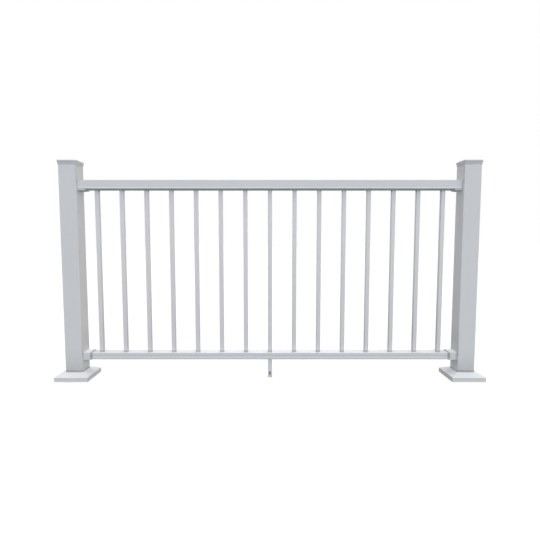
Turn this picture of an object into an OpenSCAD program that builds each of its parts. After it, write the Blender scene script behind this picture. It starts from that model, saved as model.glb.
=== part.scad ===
// Aluminium railing: one bay of square balusters between two surface-mounted posts.
//
// X runs along the rails, Y through them and Z up. The origin is the middle of the
// underside of the left post's base plate, at deck level. All sizes are in millimetres.

/* [Bay] */
// Distance between the two posts, centre to centre
post_spacing = 1820; // [1200:10:2400]
// Height of the top rail's top above the deck
rail_height = 918.4; // [700:0.1:1100]
// Gap between the deck and the underside of the bottom rail
deck_gap = 92; // [70:1:150]

/* [Posts] */
// Outside width of the square post tube
post_w = 79; // [65:1:110]
// Wall of the post tube
post_wall = 3; // [2:0.5:3.5]
// Outside radius of the post tube's upright corners
post_corner_r = 4; // [4:0.5:8]
// How far the post tube stands up past the top rail
post_above_rail = 83.1; // [40:0.1:150]

/* [Base plates] */
// How far the base plate stands out past the post on each side
plate_margin = 24; // [20:0.5:40]
// Thickness of the base plate
plate_t = 9.5; // [6:0.5:13]
// Distance from the plate's edge to the middle of an anchor hole
anchor_inset = 14.5; // [12:0.5:16]
// Diameter of an anchor hole
anchor_hole_d = 11; // [8:0.5:12]

/* [Post skirts] */
// Room between the base plate's edge and the skirt's inside face
skirt_room = 10.5; // [5:0.5:20]
// Wall of the skirt
skirt_wall = 2.5; // [1.5:0.5:4]
// Height of the skirt's upright edge
skirt_edge_h = 21.3; // [18.5:0.1:30]
// Height of the skirt where it meets the post
skirt_h = 35.5; // [32:0.5:50]
// Width of the level land around the post
skirt_land = 3; // [2:0.5:6]
// Bevel along the skirt's upper outside edge
skirt_bevel = 1.5; // [0.5:0.1:3]
// Height of the lower side of the groove along the skirt's upright edge
groove_z = 11.4; // [6:0.1:12]
// Height of the groove
groove_h = 3; // [2.5:0.1:3]
// Depth of the groove
groove_depth = 1; // [0.5:0.1:1.2]

/* [Post caps] */
// Thickness of the cap's top
cap_top_t = 3; // [2:0.5:4]
// How far the cap's rim stands out past the post
cap_reach = 4.7; // [4.2:0.1:12]
// Height of the cap's upright rim
cap_rim_h = 6.5; // [4.5:0.1:10]
// Height of the hollow curve under the rim
cap_cove_h = 4.6; // [3:0.1:7]
// Height of the collar under the hollow curve
cap_collar_h = 5; // [4:0.1:15]
// Wall of the collar round the post
cap_wall = 2; // [1:0.1:3]

/* [Rails] */
// Width of both rails across their upright faces
rail_w = 53; // [42:1:64]
// Wall of both rails
rail_wall = 2; // [1.5:0.1:2.8]
// Radius along the upper edges of both rails
rail_edge_r = 1.5; // [1:0.1:6]
// How far a rail's lower lip stands out past its face
lip_reach = 1.8; // [1:0.1:2.4]
// How far a rail's lip leans back in for each unit of its height
lip_lean = 0.13; // [0:0.01:0.2]
// Height of the slope from a rail's face out to its lip
lip_flare_h = 5; // [3:0.5:9]
// Height of the top rail
top_rail_h = 38.8; // [32:0.1:50]
// Height of the top rail's upright lip
top_lip_h = 1.5; // [1:0.1:4]
// Height of the bottom rail
bottom_rail_h = 30; // [26:0.5:45]
// Height of the bottom rail's upright lip
bottom_lip_h = 6; // [3:0.5:8]

/* [Balusters] */
// Outside width of the square baluster tube
baluster_w = 19; // [15:0.5:24]
// Wall of the baluster tube
baluster_wall = 1.3; // [1:0.1:2]
// Outside radius of the baluster's upright corners
baluster_corner_r = 2.8; // [2:0.1:4]
// Clear gap between a post and the nearest baluster
end_space = 69; // [50:1:100]
// How far a baluster reaches into each rail
baluster_inset = 12; // [5:1:20]

/* [Baluster strip] */
// How far the strip under the top rail stays inside the rail's faces
strip_inset = 3.5; // [2.5:0.5:8]
// Thickness of the strip
strip_t = 5.5; // [2:0.5:7]
// Width of the sloped flank along each side of the strip
strip_flank = 11; // [6:0.5:12]

/* [Rail brackets] */
// Length of the top bracket's seat along the rail
seat_length = 32.5; // [24:0.5:48]
// How far the seat stays inside the rail's faces
seat_inset = 1.5; // [1:0.5:4]
// Thickness of the seat
seat_t = 9.4; // [6:0.1:12]
// Height of the bevel along the seat's lower edges
seat_bevel_h = 2.6; // [1:0.1:4]
// How far the bevel along the seat's lower edges reaches in under it
seat_bevel_reach = 5; // [1:0.5:8]
// Radius of the seat's two free corners
seat_corner_r = 1.5; // [0.5:0.5:10]
// Thickness of the top bracket's tab and the bottom bracket's back
bracket_wall = 4; // [3:0.5:6]
// Height of the tab inside the top rail
tab_h = 24; // [15:1:26]
// How far the tab stays inside the rail's faces
tab_inset = 6; // [4.5:0.5:12]
// Length of the bottom bracket's sleeve along the rail
sleeve_length = 33; // [20:1:38]
// How far the sleeve stands out past the rail's faces and top
sleeve_wall = 3.5; // [3:0.1:5]
// Thickness of the sleeve's floor under the rail
sleeve_floor = 2.5; // [1.5:0.1:5]
// Length of the gasket at the sleeve's mouth
gasket_length = 8; // [3:0.5:12]
// How far the gasket stands out past the rail's outline
gasket_wall = 1.3; // [1:0.1:1.5]

/* [Support leg] */
// Thickness of the foot under the leg
foot_t = 3; // [2:0.5:6]
// Height of the foot's pad inside the leg
foot_pad_h = 9; // [1:0.5:12]
// Diameter of the screw hole through the foot
foot_hole_d = 5; // [3:0.5:6]
// Width of the arched window in the leg's front face
window_w = 9.5; // [6:0.5:10]
// Height of the window's crown above the deck
window_crown = 30; // [20:1:50]

/* [Fits] */
// Gap around a piece that slides into another
slip = 0.3; // [0.1:0.05:0.6]
// Gap between the skirt and the post
skirt_gap = 0.5; // [0.2:0.1:1]
// Gap between a rail's end and what stops it
rail_end_gap = 0.3; // [0.1:0.1:1]

/* [Hidden] */
$fn = 64;
BALUSTERS = 15;
SIDES = ["left", "right"];
CUT = 1;
COVE_STEPS = 6;
RIM_BEVEL = 0.8;
LEAST_INSIDE_R = 0.4;
WHITE = [0.93, 0.94, 0.96];
TRIM_WHITE = [0.90, 0.91, 0.93];
GASKET_GREY = [0.72, 0.73, 0.74];

post_top = rail_height + post_above_rail;
post_face = post_w / 2;
plate_w = post_w + 2 * plate_margin;
skirt_w = plate_w + 2 * (skirt_room + skirt_wall);
cap_foot_z = post_top + cap_top_t - cap_rim_h - cap_cove_h - cap_collar_h;
top_rail_z = rail_height - top_rail_h;
bottom_rail_top = deck_gap + bottom_rail_h;
clear_span = post_spacing - post_w;
baluster_pitch = (clear_span - 2 * end_space - baluster_w) / (BALUSTERS - 1);
baluster_z = bottom_rail_top - baluster_inset;
baluster_length = top_rail_z + baluster_inset - baluster_z;
seat_w = rail_w - 2 * seat_inset;
tab_w = rail_w - 2 * tab_inset;
strip_w = rail_w - 2 * strip_inset;

function inside_r(r, wall) = max(r - wall, LEAST_INSIDE_R);
function hundredths(length) = round(100 * length) / 100;
function numbered(i) = str(i < 10 ? "0" : "", i);
function baluster_node(i) = str("baluster_", numbered(i));
function baluster_x(i) = post_face + end_space + baluster_w / 2 + (i - 1) * baluster_pitch;

// ---- Shared shapes ----

// Square with rounded corners, centred on the origin.
module rounded_square(w, r) {
    square([w, w - 2 * r], center = true);
    square([w - 2 * r, w], center = true);
    for (x = [-1, 1], y = [-1, 1])
        translate([x, y] * (w / 2 - r))
            circle(r);
}

// Outline of a square tube's wall.
module tube_outline(w, wall, r) {
    difference() {
        rounded_square(w, r);
        rounded_square(w - 2 * wall, inside_r(r, wall));
    }
}

// Lays an outline's first axis along Y and its second along Z, and runs it along X.
module along_x(from, to) {
    translate([from, 0, 0])
        rotate([90, 0, 90])
            linear_extrude(to - from)
                children();
}

// Block outline from one height to another, with its two upper corners rounded.
module round_topped(w, low, high, r) {
    translate([-w / 2, low])
        square([w, high - r - low]);
    translate([r - w / 2, low])
        square([w - 2 * r, high - low]);
    for (side = [-1, 1])
        translate([side * (w / 2 - r), high - r])
            circle(r);
}

// A rail's outline, with its underside on the first axis, or that of what fits round it
// at a distance of grow.
module rail_outline(h, lip_h, grow = 0) {
    half = rail_w / 2 + grow;
    lip = half + lip_reach;
    foot = lip - lip_lean * (lip_h + grow);
    round_topped(2 * half, -grow, h + grow, rail_edge_r + grow);
    polygon([
        [foot, -grow], [lip, lip_h], [half, lip_h + lip_flare_h],
        [-half, lip_h + lip_flare_h], [-lip, lip_h], [-foot, -grow]
    ]);
}

// The wall of a hollow rail, with a solid lip.
module rail_wall_outline(h, lip_h) {
    difference() {
        rail_outline(h, lip_h);
        round_topped(rail_w - 2 * rail_wall, rail_wall, h - rail_wall,
            inside_r(rail_edge_r, rail_wall));
    }
}

// Square post shape with rounded upright corners, whose side follows [reach, height] points.
module moulded_square(w, r, side_points) {
    flat = w / 2 - r;
    low = side_points[0][1];
    high = side_points[len(side_points) - 1][1];
    for (x = [-1, 1], y = [-1, 1])
        translate([x * flat, y * flat, 0])
            rotate_extrude()
                polygon(concat([[0, low]], [for (p = side_points) [r + p[0], p[1]]], [[0, high]]));
    for (turn = [0, 90])
        rotate([0, 0, turn])
            translate([-flat, 0, 0])
                rotate([90, 0, 90])
                    linear_extrude(2 * flat)
                        polygon(concat(
                            [for (p = side_points) [w / 2 + p[0], p[1]]],
                            [for (i = [len(side_points) - 1:-1:0])
                                [-w / 2 - side_points[i][0], side_points[i][1]]]
                        ));
}

// Square solid with mitred corners, whose side follows [half width, height] points.
module mitred_square(side_points) {
    reach = side_points[0][0];
    intersection_for (turn = [0, 90])
        rotate([0, 0, turn])
            along_x(-reach, reach)
                polygon(concat(
                    side_points,
                    [for (i = [len(side_points) - 1:-1:0]) [-side_points[i][0], side_points[i][1]]]
                ));
}

// Puts a piece made for the left post at either post, with its inner side towards the bay.
module at_post(side) {
    if (side == "left")
        children();
    else
        translate([post_spacing, 0, 0])
            mirror([1, 0, 0])
                children();
}

// The square holes that the balusters pass through, from one height to another.
module baluster_holes(from, to) {
    for (i = [1:BALUSTERS])
        translate([baluster_x(i), 0, from])
            linear_extrude(to - from)
                rounded_square(baluster_w + 2 * slip, baluster_corner_r + slip);
}

// ---- Posts ----

// Plate welded under the post, with four anchor holes.
module base_plate() {
    hole_at = plate_w / 2 - anchor_inset;
    color(WHITE)
        difference() {
            translate([-plate_w / 2, -plate_w / 2, 0])
                cube([plate_w, plate_w, plate_t]);
            for (x = [-1, 1], y = [-1, 1])
                translate([x * hole_at, y * hole_at, -CUT])
                    cylinder(d = anchor_hole_d, h = plate_t + 2 * CUT);
        }
}

// Square tube that stands on the base plate.
module post() {
    color(WHITE)
        translate([0, 0, plate_t])
            linear_extrude(post_top - plate_t)
                tube_outline(post_w, post_wall, post_corner_r);
}

// Cover that slides down the post and hides the base plate and its anchors. A groove runs
// round its upright edge.
module post_skirt() {
    half = skirt_w / 2;
    land_half = post_face + skirt_gap + skirt_land;
    color(TRIM_WHITE)
        difference() {
            mitred_square([
                [half, 0], [half, groove_z],
                [half - groove_depth, groove_z + groove_depth],
                [half - groove_depth, groove_z + groove_h - groove_depth],
                [half, groove_z + groove_h], [half, skirt_edge_h - skirt_bevel],
                [half - skirt_bevel, skirt_edge_h], [land_half, skirt_h]
            ]);
            mitred_square([
                [half - skirt_wall, -CUT], [half - skirt_wall, skirt_edge_h - skirt_wall],
                [land_half, skirt_h - skirt_wall]
            ]);
            linear_extrude(skirt_h + CUT)
                rounded_square(post_w + 2 * skirt_gap, post_corner_r + skirt_gap);
        }
}

// Cap that fits over the post's top: a collar, a hollow curve and an upright rim.
module post_cap() {
    collar_reach = slip + cap_wall;
    cove_z = cap_foot_z + cap_collar_h;
    cap_top = post_top + cap_top_t;
    cove = [for (i = [0:COVE_STEPS])
        let (a = 90 * i / COVE_STEPS)
            [hundredths(cap_reach - (cap_reach - collar_reach) * cos(a)),
                hundredths(cove_z + cap_cove_h * sin(a))]];
    color(TRIM_WHITE)
        difference() {
            moulded_square(post_w, post_corner_r, concat(
                [[collar_reach, cap_foot_z]], cove,
                [[cap_reach, cap_top - RIM_BEVEL], [cap_reach - RIM_BEVEL, cap_top]]
            ));
            translate([0, 0, cap_foot_z - CUT])
                linear_extrude(post_top - cap_foot_z + CUT)
                    rounded_square(post_w + 2 * slip, post_corner_r + slip);
        }
}

// ---- Rails ----

// Hollow rail with a rounded top and a flared lower lip. Its underside has a hole for each
// baluster and a notch at each end for the bracket's tab.
module top_rail() {
    start = post_face + rail_end_gap;
    notch_w = tab_w + 2 * slip;
    color(WHITE)
        difference() {
            translate([0, 0, top_rail_z])
                along_x(start, post_spacing - start)
                    rail_wall_outline(top_rail_h, top_lip_h);
            baluster_holes(top_rail_z - CUT, top_rail_z + rail_wall + CUT);
            for (side = SIDES)
                at_post(side)
                    translate([post_face, -notch_w / 2, top_rail_z - CUT])
                        cube([bracket_wall + slip, notch_w, rail_wall + 2 * CUT]);
        }
}

// Strip with sloped flanks that closes the top rail's underside between the two brackets.
module top_rail_strip() {
    start = post_face + seat_length + rail_end_gap;
    half = strip_w / 2;
    color(TRIM_WHITE)
        difference() {
            translate([0, 0, top_rail_z - strip_t])
                along_x(start, post_spacing - start)
                    polygon([
                        [half, strip_t], [-half, strip_t],
                        [strip_flank - half, 0], [half - strip_flank, 0]
                    ]);
            baluster_holes(top_rail_z - strip_t - CUT, top_rail_z + CUT);
        }
}

// Hollow rail with a hole in its top for each baluster.
module bottom_rail() {
    start = post_face + bracket_wall + rail_end_gap;
    color(WHITE)
        difference() {
            translate([0, 0, deck_gap])
                along_x(start, post_spacing - start)
                    rail_wall_outline(bottom_rail_h, bottom_lip_h);
            baluster_holes(bottom_rail_top - rail_wall - CUT, bottom_rail_top + CUT);
        }
}

// Square tube whose ends sit inside the two rails.
module baluster(i) {
    color(WHITE)
        translate([baluster_x(i), 0, baluster_z])
            linear_extrude(baluster_length)
                tube_outline(baluster_w, baluster_wall, baluster_corner_r);
}

// ---- Brackets ----

// Outline of the seat, from the post's face to its two rounded free corners.
module seat_outline() {
    straight = seat_length - seat_corner_r;
    translate([0, -seat_w / 2])
        square([straight, seat_w]);
    translate([0, seat_corner_r - seat_w / 2])
        square([seat_length, seat_w - 2 * seat_corner_r]);
    for (side = [-1, 1])
        translate([straight, side * (seat_w / 2 - seat_corner_r)])
            circle(seat_corner_r);
}

// Seat under the top rail's end, bevelled below, and a tab against the post inside the rail.
module top_bracket() {
    half = seat_w / 2;
    bevel_z = seat_bevel_h - seat_t;
    color(TRIM_WHITE)
        translate([post_face, 0, top_rail_z]) {
            intersection() {
                translate([0, 0, -seat_t])
                    linear_extrude(seat_t)
                        seat_outline();
                along_x(0, seat_length)
                    polygon([
                        [half, 0], [-half, 0], [-half, bevel_z],
                        [seat_bevel_reach - half, -seat_t],
                        [half - seat_bevel_reach, -seat_t], [half, bevel_z]
                    ]);
                translate([0, half, 0])
                    rotate([90, 0, 0])
                        linear_extrude(seat_w)
                            polygon([
                                [0, 0], [0, -seat_t],
                                [seat_length - seat_bevel_reach, -seat_t],
                                [seat_length, bevel_z], [seat_length, 0]
                            ]);
            }
            translate([0, -tab_w / 2, -CUT])
                cube([bracket_wall, tab_w, tab_h + CUT]);
        }
}

// Sleeve round the bottom rail's end, closed against the post.
module bottom_bracket() {
    sleeve_end = post_face + sleeve_length;
    color(TRIM_WHITE)
        translate([0, 0, deck_gap])
            difference() {
                along_x(post_face, sleeve_end)
                    round_topped(rail_w + 2 * sleeve_wall, -sleeve_floor,
                        bottom_rail_h + sleeve_wall, rail_edge_r);
                along_x(post_face + bracket_wall, sleeve_end + CUT)
                    rail_outline(bottom_rail_h, bottom_lip_h, slip);
            }
}

// Gasket round the bottom rail, against the sleeve's mouth.
module rail_gasket() {
    start = post_face + sleeve_length;
    color(GASKET_GREY)
        translate([0, 0, deck_gap])
            difference() {
                along_x(start, start + gasket_length)
                    rail_outline(bottom_rail_h, bottom_lip_h, gasket_wall);
                along_x(start - CUT, start + gasket_length + CUT)
                    rail_outline(bottom_rail_h, bottom_lip_h, slip);
            }
}

// ---- Support under the middle of the bottom rail ----

// Offcut of the baluster tube, with an arched window that a screwdriver reaches through.
module support_leg() {
    window_r = window_w / 2;
    color(WHITE)
        translate([post_spacing / 2, 0, 0])
            difference() {
                translate([0, 0, foot_t])
                    linear_extrude(deck_gap - foot_t)
                        tube_outline(baluster_w, baluster_wall, baluster_corner_r);
                translate([0, -baluster_w / 2 - CUT, 0]) {
                    translate([-window_r, 0, 0])
                        cube([window_w, baluster_wall + 2 * CUT, window_crown - window_r]);
                    translate([0, 0, window_crown - window_r])
                        rotate([-90, 0, 0])
                            cylinder(r = window_r, h = baluster_wall + 2 * CUT);
                }
            }
}

// Foot that the leg stands on, with a pad inside the tube and a hole for the deck screw.
module support_foot() {
    pad_w = baluster_w - 2 * (baluster_wall + slip);
    pad_r = baluster_corner_r - baluster_wall;
    color(TRIM_WHITE)
        translate([post_spacing / 2, 0, 0])
            difference() {
                union() {
                    linear_extrude(foot_t)
                        rounded_square(baluster_w, baluster_corner_r);
                    linear_extrude(foot_t + foot_pad_h)
                        rounded_square(pad_w, pad_r);
                }
                translate([0, 0, -CUT])
                    cylinder(d = foot_hole_d, h = foot_t + foot_pad_h + 2 * CUT);
            }
}

// ---- Pieces ----

for (side = SIDES) {
    at_post(side) base_plate();
    at_post(side) post();
    at_post(side) post_skirt();
    at_post(side) post_cap();
    at_post(side) top_bracket();
    at_post(side) bottom_bracket();
    at_post(side) rail_gasket();
}
top_rail();
top_rail_strip();
bottom_rail();
support_leg();
support_foot();
for (i = [1:BALUSTERS])
    baluster(i);
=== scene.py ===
"""Finishes, fasteners and studio for one bay of white aluminium railing.

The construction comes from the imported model, which stays as it is. This script gives each of its
pieces a finish, adds the bolts, screws and welds, and sets up the studio. Lengths are in metres.
"""

import math

import bpy
import numpy as np
from bpy.props import FloatProperty, FloatVectorProperty, IntProperty, PointerProperty
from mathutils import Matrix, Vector


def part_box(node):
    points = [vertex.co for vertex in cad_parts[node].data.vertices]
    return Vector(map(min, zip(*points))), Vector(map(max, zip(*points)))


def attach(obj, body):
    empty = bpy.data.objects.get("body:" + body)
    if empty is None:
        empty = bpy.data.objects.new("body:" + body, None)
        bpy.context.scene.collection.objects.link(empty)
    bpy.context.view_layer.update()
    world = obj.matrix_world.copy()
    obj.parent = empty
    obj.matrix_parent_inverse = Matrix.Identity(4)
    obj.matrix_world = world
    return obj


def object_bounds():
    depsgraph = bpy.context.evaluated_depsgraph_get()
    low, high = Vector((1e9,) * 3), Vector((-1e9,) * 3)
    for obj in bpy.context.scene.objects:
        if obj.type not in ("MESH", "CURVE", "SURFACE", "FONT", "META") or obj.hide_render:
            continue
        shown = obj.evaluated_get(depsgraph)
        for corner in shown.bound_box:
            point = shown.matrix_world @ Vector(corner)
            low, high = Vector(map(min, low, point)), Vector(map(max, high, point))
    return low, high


bl_info = {
    "name": "Aluminium Railing Bay",
    "version": (1, 0, 0),
    "blender": (4, 5, 0),
    "location": "View3D > Sidebar > Railing",
    "description": "Finishes, fasteners and studio for one bay of aluminium railing",
    "category": "Object",
}

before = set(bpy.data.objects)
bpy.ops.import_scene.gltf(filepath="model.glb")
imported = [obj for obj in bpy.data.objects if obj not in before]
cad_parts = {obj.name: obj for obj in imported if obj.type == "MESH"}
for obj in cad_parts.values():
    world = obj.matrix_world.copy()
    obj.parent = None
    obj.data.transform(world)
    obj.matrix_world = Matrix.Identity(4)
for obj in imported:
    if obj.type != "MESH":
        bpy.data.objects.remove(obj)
CAD_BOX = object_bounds()
BODY = "root"
MM = 0.001
SIDES = ("left", "right")
ALONG, UP = 0, 2

# How fine each pattern is, in features a metre.
TONE_SCALE = 2.5
SHEEN_SCALE = 40.0
SHADE_PATCH_SCALE = 90.0
LINE_SCALE = 900.0
LINE_STRETCH = 1500.0
PLASTIC_TONE_SCALE = 7.5
PLASTIC_GRAIN_SCALE = 1 / (0.6 * MM)
STEEL_CLOUD_SCALE = 180.0
STEEL_SHEEN_SCALE = 420.0
STEEL_GRAIN_SCALE = 2500.0

# The span of a pattern's or a shelter's values that is drawn out over a mark's whole range.
NOISE_SPAN = (0.3, 0.7)
PATCH_SPAN = (0.25, 0.75)
JOINT_SPAN = (0.05, 0.40)
PLASTIC_JOINT_SPAN = (0.3, 0.95)

# How thin and how thick the patches of painted shade are, and how ragged.
PATCH_DETAIL = 4.0
PATCH_ROUGHNESS = 0.6
JOINT_SHADE_PATCHES = (0.7, 1.0)
SPREAD_SHADE_PATCHES = (0.8, 1.1)

# How the painted shade fades and thins out, and the turns of a face over which painted shade and
# painted light come and go.
SHADE_FREE_FADE = 1.5
SHADE_FALL = 3.0
RAIL_JOINT_SHARE = 0.6
RAIL_UNSHADED_TURN = (0.0, 0.8)
SLEEVE_LIT_TURN = (0.5, 0.9)
SLOPE_LIT_TURN = (0.1, 0.3)
INWARD_SHADE_TURN = (0.0, 0.5)
SLOPE_HEIGHTS = (0.5, 0.7)
SLOPE_JOINT_SHARE = 0.25

# The finishes.
COAT_IOR = 1.5
COAT_SHEEN_RANGE = (-0.04, 0.05)
SHADED_ROUGHNESS = 0.3
SHELTER_SAMPLES = 8
PLASTIC_DULL_TONE = 0.95
PLASTIC_SHADE = 0.35
PLASTIC_SHADE_TONE = 0.9
PLASTIC_ROUGHNESS = (0.58, 0.68)
PLASTIC_GRAIN_DEPTH = 0.02 * MM
STEEL_WARM = (1.0, 0.985, 0.93)
STEEL_COLD = (0.92, 0.95, 1.0)
STEEL_ROUGHNESS = (0.26, 0.42)
STEEL_GRAIN_DEPTH = 0.006 * MM
WHITE = (1, 1, 1, 1)

# The sockets that a Mix node has for colours.
MIX_FIRST_COLOUR, MIX_SECOND_COLOUR, MIX_RESULT_COLOUR = 6, 7, 2

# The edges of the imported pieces, and the pieces that are worked out here.
SHARP_ANGLE = math.radians(35)
MERGE_DISTANCE = 0.005 * MM
FLAT_ANGLE = math.radians(0.2)
BOLT_STEPS = 72
BOLT_TURN = 2.4
BOLT_FACE_SHARE = 0.47
BOLT_CHAMFER_ANGLE = math.radians(30)
BOLT_CHAMFER_RINGS = 7
WASHER_STEPS = 64
WASHER_ROOM = 0.25 * MM
WASHER_BEVEL = 0.3 * MM
SCREW_STEPS = 64
SCREW_SPREAD = 0.5
SCREW_NECK = 0.55
SCREW_RIM = 0.25
DOME_RINGS = 26
CROWN_ANGLE = 0.02
DOME_POWER = 4
CROSS_ARM = 0.11
CROSS_REACH = 0.30
CROSS_WALL = 0.6
CROSS_END = 0.8
HALF_TURN = (1, -1, -1)
POST_CORNER = 4 * MM
RIPPLE_STEPS = 6
BEAD_POINTS = 9
BEAD_ROOT = 0.3 * MM
BEAD_FLATTENING = 0.20
BEAD_WANDER = 0.05
BEAD_WAVES = (9 * MM, 23 * MM)
CREST_LAG = 1.54
FLOOR_GAP = 0.2 * MM
SENSOR_WIDTH = 36.0


# ---- Settings ----


class CoatSettings(bpy.types.PropertyGroup):
    """The white powder coat on every aluminium piece that shows."""

    colour: FloatVectorProperty(
        name="Coat Colour", description="Colour of the powder coat", subtype="COLOR",
        size=3, min=0, max=1, default=(0.86, 0.867, 0.885),
    )
    # Painted shade: a darker copy of the coat on the caps, standing in for the shade under their rims.
    cap_shade_tone: FloatProperty(
        name="Cap Tone", description="Brightness of the cast caps beside the posts",
        min=0.5, max=1.15, default=0.865,
    )
    baluster_tone: FloatProperty(
        name="Baluster Tone", description="Brightness of the balusters beside the posts",
        min=0.5, max=1.15, default=1.07,
    )
    # Painted light: a slightly lighter copy of the coat on the seats, offsetting the shade of the top
    # rail over them.
    seat_lit_tone: FloatProperty(
        name="Seat Tone", description="Brightness of the seats under the top rail",
        min=0.5, max=1.15, default=1.01,
    )
    # Painted light: a lighter copy of the coat on the support leg, offsetting the shade that the lower
    # rail casts on it.
    leg_lit_tone: FloatProperty(
        name="Leg Tone", description="Brightness of the support leg beside the posts",
        min=0.5, max=1.2, default=1.14,
    )
    # Painted light: a lighter copy of the coat on skirts and sleeves, with painted shade on all but the
    # sleeves' tops and the skirts' inner slopes, so that these look lit.
    lit_face_tone: FloatProperty(
        name="Rinsed Tone", description="Brightness of skirts and sleeves where rain rinses them",
        min=0.5, max=1.15, default=1.12,
    )
    roughness: FloatProperty(
        name="Roughness", description="Roughness of the cured coat", subtype="FACTOR",
        min=0, max=1, default=0.52,
    )
    tone_range: FloatProperty(
        name="Tone Range", description="How far the coat's tone wanders along a piece",
        subtype="FACTOR", min=0, max=0.2, default=0.03,
    )
    peel_size: FloatProperty(
        name="Peel Size", description="Width of one dimple of the coat's orange peel",
        subtype="DISTANCE", unit="LENGTH", min=0.0005, max=0.01, default=0.0022,
    )
    peel_depth: FloatProperty(
        name="Peel Depth", description="Height of the coat's orange peel",
        subtype="DISTANCE", unit="LENGTH", min=0, max=0.0005, default=0.00003,
    )
    line_depth: FloatProperty(
        name="Die Line Depth", description="Height of the faint lines left by the extrusion die",
        subtype="DISTANCE", unit="LENGTH", min=0, max=0.0005, default=0.00001,
    )


class ShadeSettings(bpy.types.PropertyGroup):
    """Painted shade laid on the coat in a grey colour: in joints, under the seats, at the feet of the
    posts and balusters, beside the rails, and on all but the lit faces of skirts and sleeves. The
    grime, splashed dirt, film and dust that the settings below speak of are all this painted shade.
    """

    colour: FloatVectorProperty(
        name="Dust Colour", description="Colour of the grime in the joints", subtype="COLOR",
        size=3, min=0, max=1, default=(0.40, 0.40, 0.40),
    )
    reach: FloatProperty(
        name="Dust Reach", description="How far the grime reaches out of a joint",
        subtype="DISTANCE", unit="LENGTH", min=0.001, max=0.05, default=0.012,
    )
    amount: FloatProperty(
        name="Dust Amount", description="How much of the coat the grime hides in a joint",
        subtype="FACTOR", min=0, max=1, default=0.6,
    )
    # Painted shade is left off within this height of the deck.
    shade_free_height: FloatProperty(
        name="Washed Height", description="Height above the deck below which rain keeps pieces clean",
        subtype="DISTANCE", unit="LENGTH", min=0, max=0.1, default=0.008,
    )
    cap_shade_amount: FloatProperty(
        name="Cap Dust Amount", description="How much of the coat it hides in the caps' hollows",
        subtype="FACTOR", min=0, max=1, default=0.9,
    )
    skirt_shade_amount: FloatProperty(
        name="Skirt Dust Amount", description="How much of the coat it hides in the skirts' grooves",
        subtype="FACTOR", min=0, max=1, default=0.6,
    )
    seat_shade_reach: FloatProperty(
        name="Seat Dust Reach", description="How far it reaches on the small seats of the top rail",
        subtype="DISTANCE", unit="LENGTH", min=0.001, max=0.05, default=0.003,
    )
    seat_shade_amount: FloatProperty(
        name="Seat Dust Amount", description="How much of the coat it hides under those seats",
        subtype="FACTOR", min=0, max=1, default=0.6,
    )
    baluster_shade_reach: FloatProperty(
        name="Baluster Dust Reach", description="How far up a baluster's foot the grime reaches",
        subtype="DISTANCE", unit="LENGTH", min=0.001, max=0.1, default=0.018,
    )
    baluster_shade_amount: FloatProperty(
        name="Baluster Dust Amount", description="How much of the coat it hides at a baluster's ends",
        subtype="FACTOR", min=0, max=1, default=1.0,
    )
    spread_shade_top: FloatProperty(
        name="Film Top", description="Height at which the film of dust on the balusters ends",
        subtype="DISTANCE", unit="LENGTH", min=0.1, max=0.9, default=0.65,
    )
    spread_shade_amount: FloatProperty(
        name="Film Amount", description="How much of the coat the film hides at the lower rail",
        subtype="FACTOR", min=0, max=1, default=0.17,
    )
    spread_side_shade_amount: FloatProperty(
        name="Film Side Amount", description="How much more it hides on faces that look along the rail",
        subtype="FACTOR", min=0, max=1, default=0.4,
    )
    unlit_shade_amount: FloatProperty(
        name="Unrinsed Film", description="How much of the skirts and sleeves the old film hides",
        subtype="FACTOR", min=0, max=1, default=0.143,
    )
    foot_shade_line: FloatProperty(
        name="Foot Line", description="How much of the coat is hidden along the line above a skirt",
        subtype="FACTOR", min=0, max=1, default=0.54,
    )
    deck_shade_height: FloatProperty(
        name="Splash Height", description="How far above the skirts the splashed dirt reaches",
        subtype="DISTANCE", unit="LENGTH", min=0, max=0.5, default=0.165,
    )
    deck_shade_amount: FloatProperty(
        name="Splash Amount", description="How much of the coat the splashed dirt hides at the foot",
        subtype="FACTOR", min=0, max=1, default=0.7,
    )
    rail_shade_reach: FloatProperty(
        name="Rail Splash Reach", description="How far above a rail it splashes dirt onto the posts",
        subtype="DISTANCE", unit="LENGTH", min=0.01, max=0.5, default=0.14,
    )
    rail_shade_amount: FloatProperty(
        name="Rail Splash Amount", description="How much of the posts' coat that dirt hides at a rail",
        subtype="FACTOR", min=0, max=1, default=0.38,
    )


class TrimSettings(bpy.types.PropertyGroup):
    """The plastic and bare metal pieces."""

    # Its grey is partly the strip's own colour and partly painted shade for the dark recess under the
    # top rail.
    strip_and_shade_colour: FloatVectorProperty(
        name="Strip Colour", description="Colour of the plastic strip under the top rail",
        subtype="COLOR", size=3, min=0, max=1, default=(0.62, 0.63, 0.65),
    )
    foot_colour: FloatVectorProperty(
        name="Foot Colour", description="Colour of the plastic foot under the support leg",
        subtype="COLOR", size=3, min=0, max=1, default=(0.88, 0.885, 0.89),
    )
    # Its grey is partly the rubber's own colour and partly painted shade for the contact shadow at the
    # mouths of the lower sleeves.
    gasket_and_shade_colour: FloatVectorProperty(
        name="Gasket Colour", description="Colour of the rubber gaskets at the lower brackets",
        subtype="COLOR", size=3, min=0, max=1, default=(0.52, 0.53, 0.55),
    )
    steel_colour: FloatVectorProperty(
        name="Steel Colour", description="Colour of the zinc-plated bolts and screws",
        subtype="COLOR", size=3, min=0, max=1, default=(0.62, 0.62, 0.60),
    )


class EdgeSettings(bpy.types.PropertyGroup):
    """The small rounding that keeps every made edge from being knife sharp."""

    width: FloatProperty(
        name="Edge Rounding", description="Width of the rounding along sharp edges",
        subtype="DISTANCE", unit="LENGTH", min=0.0001, max=0.002, default=0.0005,
    )
    segments: IntProperty(
        name="Rounding Steps", description="Steps across the rounding", min=1, max=6, default=3,
    )
    angle: FloatProperty(
        name="Edge Angle", description="Least turn at which an edge is rounded",
        subtype="ANGLE", unit="ROTATION", min=0.1, max=1.5, default=math.radians(20),
    )


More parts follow.
